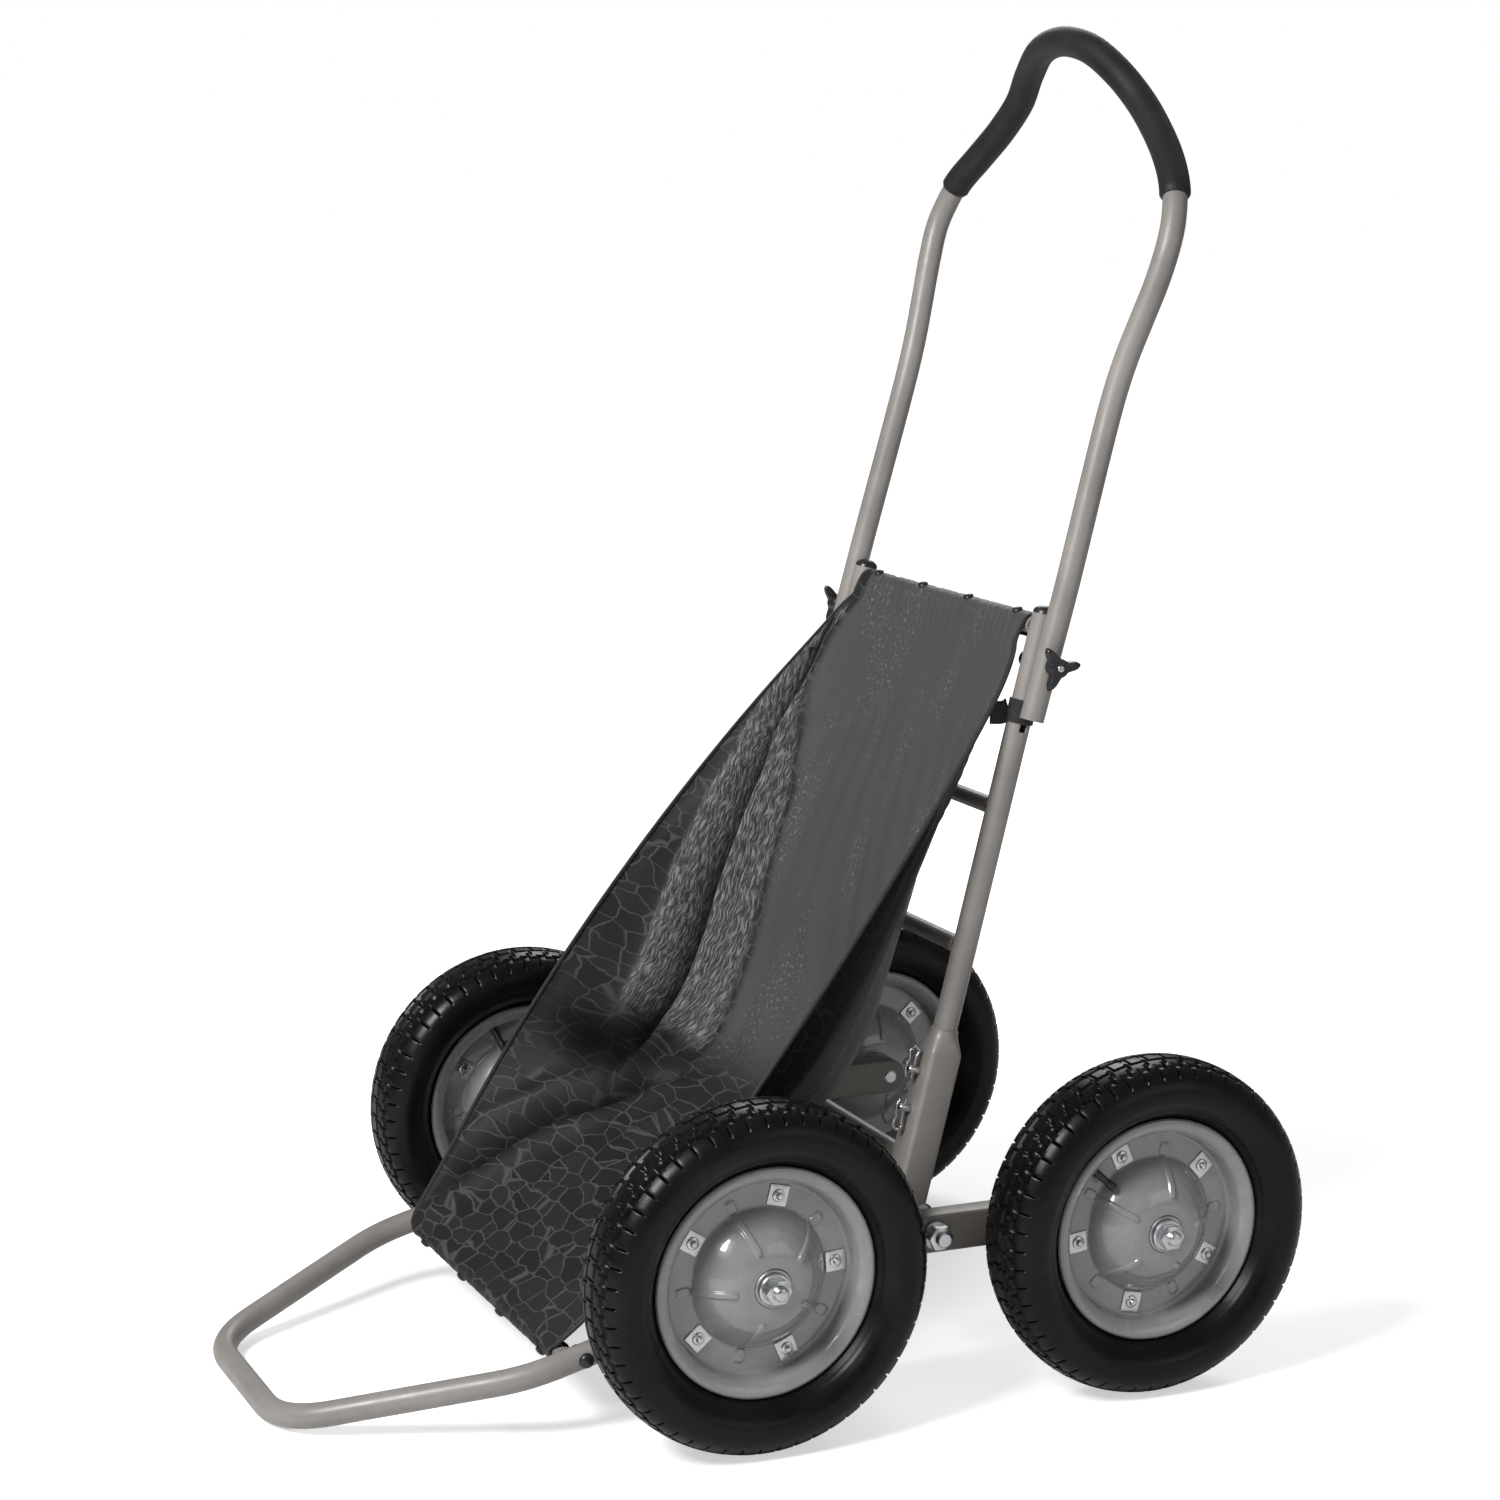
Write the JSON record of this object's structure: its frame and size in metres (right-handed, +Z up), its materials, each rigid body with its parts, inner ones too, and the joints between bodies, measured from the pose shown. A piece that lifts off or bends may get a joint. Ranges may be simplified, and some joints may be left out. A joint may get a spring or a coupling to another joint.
{
  "type": "game cart",
  "caption": "Four-wheel hand cart for hauling game: leaning tube frame with nose loop, hammock sling, fold-down handle and rocking wheel beams.",
  "frame": {"origin": "on the ground, on the centreline, midway between the nose's front and the rear tyres' back", "axes": "+X to the side, a mirror plane at x = 0; -Y forward to the nose; +Z up"},
  "size_m": [0.778, 1.0566, 1.399],
  "materials": {
    "frame_paint": "satin taupe-grey powder coat",
    "beam_paint": "satin darker taupe powder coat",
    "rim_paint": "gloss mid-grey enamel",
    "tyre": "matt black rubber",
    "grip_foam": "smooth black foam",
    "black_plastic": "moulded black",
    "zinc": "bright zinc plate",
    "hub_steel": "turned steel",
    "bronze": "sintered bronze",
    "mesh_fabric": "open-weave black fabric with a scale pattern"
  },
  "bodies": {
    "frame": {"base_loop": "frame_paint", "sling_bottom_bar": "frame_paint", "knuckle_socket_left": "frame_paint", "knuckle_socket_right": "frame_paint", "knuckle_crossbar": "frame_paint", "pivot_tube": "frame_paint", "pivot_rod": "zinc", "pivot_nut_left": "zinc", "pivot_nut_right": "zinc", "upright_left": "frame_paint", "upright_right": "frame_paint", "upright_plug_left": "black_plastic", "upright_plug_right": "black_plastic", "sling_top_bar": "frame_paint", "upper_crossbar": "frame_paint", "lower_crossbar": "frame_paint", "clamp_bolt_left": "zinc", "clamp_bolt_right": "zinc", "sling": "mesh_fabric", "retaining_pin_left_lower": "zinc", "retaining_pin_left_upper": "zinc", "retaining_pin_right_lower": "zinc", "retaining_pin_right_upper": "zinc"},
    "handle": {"handle_tube": "frame_paint", "handle_grip": "grip_foam"},
    "clamp_knob_left": {"clamp_knob_left": "black_plastic"},
    "r_clip_left_lower": {"r_clip_left_lower": "zinc"},
    "r_clip_left_upper": {"r_clip_left_upper": "zinc"},
    "beam_left": {"walking_beam_left": "beam_paint", "pivot_bush_left": "bronze", "stub_axle_front_left": "zinc", "axle_nut_front_left": "zinc", "stub_axle_rear_left": "zinc", "axle_nut_rear_left": "zinc"},
    "wheel_front_left": {"tyre_front_left": "tyre", "outer_rim_front_left": "rim_paint", "inner_rim_front_left": "rim_paint", "hub_front_left": "hub_steel"},
    "wheel_rear_left": {"tyre_rear_left": "tyre", "outer_rim_rear_left": "rim_paint", "inner_rim_rear_left": "rim_paint", "hub_rear_left": "hub_steel"},
    "clamp_knob_right": {"clamp_knob_right": "black_plastic"},
    "r_clip_right_lower": {"r_clip_right_lower": "zinc"},
    "r_clip_right_upper": {"r_clip_right_upper": "zinc"},
    "beam_right": {"walking_beam_right": "beam_paint", "pivot_bush_right": "bronze", "stub_axle_front_right": "zinc", "axle_nut_front_right": "zinc", "stub_axle_rear_right": "zinc", "axle_nut_rear_right": "zinc"},
    "wheel_front_right": {"tyre_front_right": "tyre", "outer_rim_front_right": "rim_paint", "inner_rim_front_right": "rim_paint", "hub_front_right": "hub_steel"},
    "wheel_rear_right": {"tyre_rear_right": "tyre", "outer_rim_rear_right": "rim_paint", "inner_rim_rear_right": "rim_paint", "hub_rear_right": "hub_steel"}
  },
  "joints": [
    {"name": "handle_fold", "type": "hinge", "parent": "frame", "child": "handle", "pos_m": [0, 0.26349, 0.752], "axis": [-1, 0, 0], "range_deg": [0, 172]},
    {"name": "clamp_knob_left_turn", "type": "hinge", "parent": "frame", "child": "clamp_knob_left", "pos_m": [0.253, 0.26349, 0.752], "axis": [1, 0, 0], "continuous": true},
    {"name": "r_clip_left_lower_pull", "type": "slide", "parent": "frame", "child": "r_clip_left_lower", "axis": [0, -0.2306, -0.9731], "range_m": [0, 0.026]},
    {"name": "r_clip_left_upper_pull", "type": "slide", "parent": "frame", "child": "r_clip_left_upper", "axis": [0, 0.2306, 0.9731], "range_m": [0, 0.026]},
    {"name": "beam_left_rock", "type": "hinge", "parent": "frame", "child": "beam_left", "pos_m": [0.2675, 0.12749, 0.178], "axis": [1, 0, 0], "range_deg": [-35, 35]},
    {"name": "wheel_front_left_spin", "type": "hinge", "parent": "beam_left", "child": "wheel_front_left", "pos_m": [0.328, -0.09401, 0.178], "axis": [1, 0, 0], "continuous": true},
    {"name": "wheel_rear_left_spin", "type": "hinge", "parent": "beam_left", "child": "wheel_rear_left", "pos_m": [0.328, 0.34899, 0.178], "axis": [1, 0, 0], "continuous": true},
    {"name": "clamp_knob_right_turn", "type": "hinge", "parent": "frame", "child": "clamp_knob_right", "pos_m": [-0.253, 0.26349, 0.752], "axis": [-1, 0, 0], "continuous": true},
    {"name": "r_clip_right_lower_pull", "type": "slide", "parent": "frame", "child": "r_clip_right_lower", "axis": [0, -0.2306, -0.9731], "range_m": [0, 0.026]},
    {"name": "r_clip_right_upper_pull", "type": "slide", "parent": "frame", "child": "r_clip_right_upper", "axis": [0, 0.2306, 0.9731], "range_m": [0, 0.026]},
    {"name": "beam_right_rock", "type": "hinge", "parent": "frame", "child": "beam_right", "pos_m": [-0.2675, 0.12749, 0.178], "axis": [1, 0, 0], "range_deg": [-35, 35]},
    {"name": "wheel_front_right_spin", "type": "hinge", "parent": "beam_right", "child": "wheel_front_right", "pos_m": [-0.328, -0.09401, 0.178], "axis": [1, 0, 0], "continuous": true},
    {"name": "wheel_rear_right_spin", "type": "hinge", "parent": "beam_right", "child": "wheel_rear_right", "pos_m": [-0.328, 0.34899, 0.178], "axis": [1, 0, 0], "continuous": true}
  ]
}
